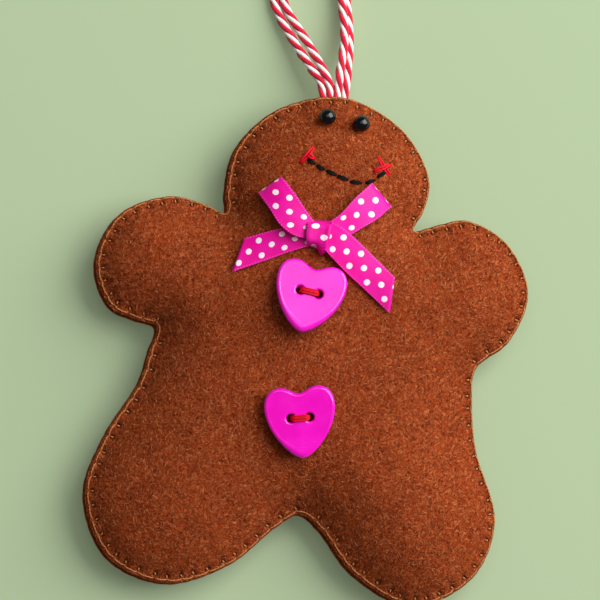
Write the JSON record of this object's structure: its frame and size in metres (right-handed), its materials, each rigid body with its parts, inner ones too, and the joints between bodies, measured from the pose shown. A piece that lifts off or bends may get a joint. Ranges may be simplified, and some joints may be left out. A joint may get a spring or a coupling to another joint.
{
  "type": "felt christmas ornament",
  "caption": "Stuffed felt gingerbread figure that hangs by a doubled twine loop, with bead eyes, a stitched mouth and cheeks, a dotted ribbon bow and heart-shaped buttons.",
  "frame": {"origin": "middle of the figure's outline, on the surface that its back lies on", "axes": "+X to the right as seen from the front, +Y towards the head and the loop, +Z out of the front"},
  "size_m": [0.0905, 0.1397, 0.0206],
  "materials": {
    "felt": "matte wool felt, rust brown",
    "stuffing": "loose white fibre",
    "caramel_thread": "sewing thread, caramel brown",
    "black_bead": "polished black",
    "black_floss": "black floss",
    "red_floss": "red floss",
    "pink_satin": "hot-pink satin with white dots",
    "magenta_plastic": "glossy magenta",
    "twine": "cotton twine, red and white plies"
  },
  "bodies": {
    "ornament": {"front_panel": "felt", "back_panel": "felt", "stuffing": "stuffing", "edge_stitching": "caramel_thread", "left_eye_bead": "black_bead", "right_eye_bead": "black_bead", "left_eye_thread": "black_floss", "right_eye_thread": "black_floss", "mouth_thread": "black_floss", "left_cheek_thread": "red_floss", "right_cheek_thread": "red_floss", "ribbon_bow": "pink_satin", "bow_tack_thread": "pink_satin", "upper_button_thread": "red_floss", "lower_button_thread": "red_floss", "twine_knot": "twine"},
    "hanging_loop": {"outer_twine_loop": "twine", "inner_twine_loop": "twine"},
    "upper_button": {"upper_heart_button": "magenta_plastic"},
    "lower_button": {"lower_heart_button": "magenta_plastic"}
  },
  "joints": [
    {"name": "loop_flop", "type": "hinge", "parent": "ornament", "child": "hanging_loop", "pos_m": [0.00121, 0.0536, 0.00595], "axis": [1, 0, 0], "range_deg": [0, 110]},
    {"name": "upper_button_turn", "type": "hinge", "parent": "ornament", "child": "upper_button", "pos_m": [-0.00015, 0.01089, 0.01653], "axis": [-0.0064, 0.0398, 0.9992], "range_deg": [-6, 6]},
    {"name": "lower_button_turn", "type": "hinge", "parent": "ornament", "child": "lower_button", "pos_m": [0.0006, -0.01455, 0.01644], "axis": [0.0012, -0.0704, 0.9975], "range_deg": [-6, 6]}
  ]
}
